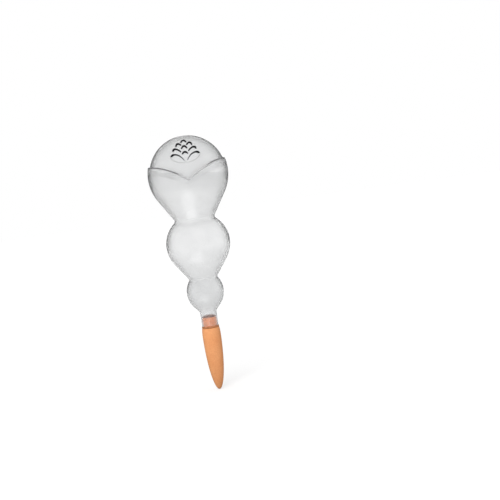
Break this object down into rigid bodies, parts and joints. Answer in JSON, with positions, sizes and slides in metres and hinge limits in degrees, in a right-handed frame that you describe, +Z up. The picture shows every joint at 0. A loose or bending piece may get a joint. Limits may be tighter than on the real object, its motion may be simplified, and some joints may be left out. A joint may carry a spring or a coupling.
{
  "type": "watering globe",
  "caption": "Clear gourd-shaped plant watering reservoir with a lift-off domed lid, louvred in front, on a hollow terracotta spike that seeps water into the soil.",
  "frame": {"origin": "centre of the spike's flat shoulder, level with the soil's surface when the spike is pushed in", "axes": "+Z up along the spike and the reservoir, -Y towards the side of the lid with the fan of louvres"},
  "size_m": [0.08, 0.0794, 0.2571],
  "materials": {
    "terracotta": "unglazed fired clay, fine grained and matt",
    "seal_rubber": "red-brown rubber, satin",
    "clear_plastic": "clear moulded plastic, polished",
    "clear_lid_plastic": "clear moulded plastic, polished"
  },
  "bodies": {
    "spike": {"clay_spike": "terracotta", "seal_ring": "seal_rubber"},
    "reservoir": {"reservoir": "clear_plastic"},
    "lid": {"lid": "clear_lid_plastic"}
  },
  "joints": [
    {"name": "reservoir_pull_off", "type": "slide", "parent": "spike", "child": "reservoir", "axis": [0, 0, 1], "range_m": [0, 0.02]},
    {"name": "lid_lift_off", "type": "slide", "parent": "reservoir", "child": "lid", "axis": [0, 0, 1], "range_m": [0, 0.045]}
  ]
}
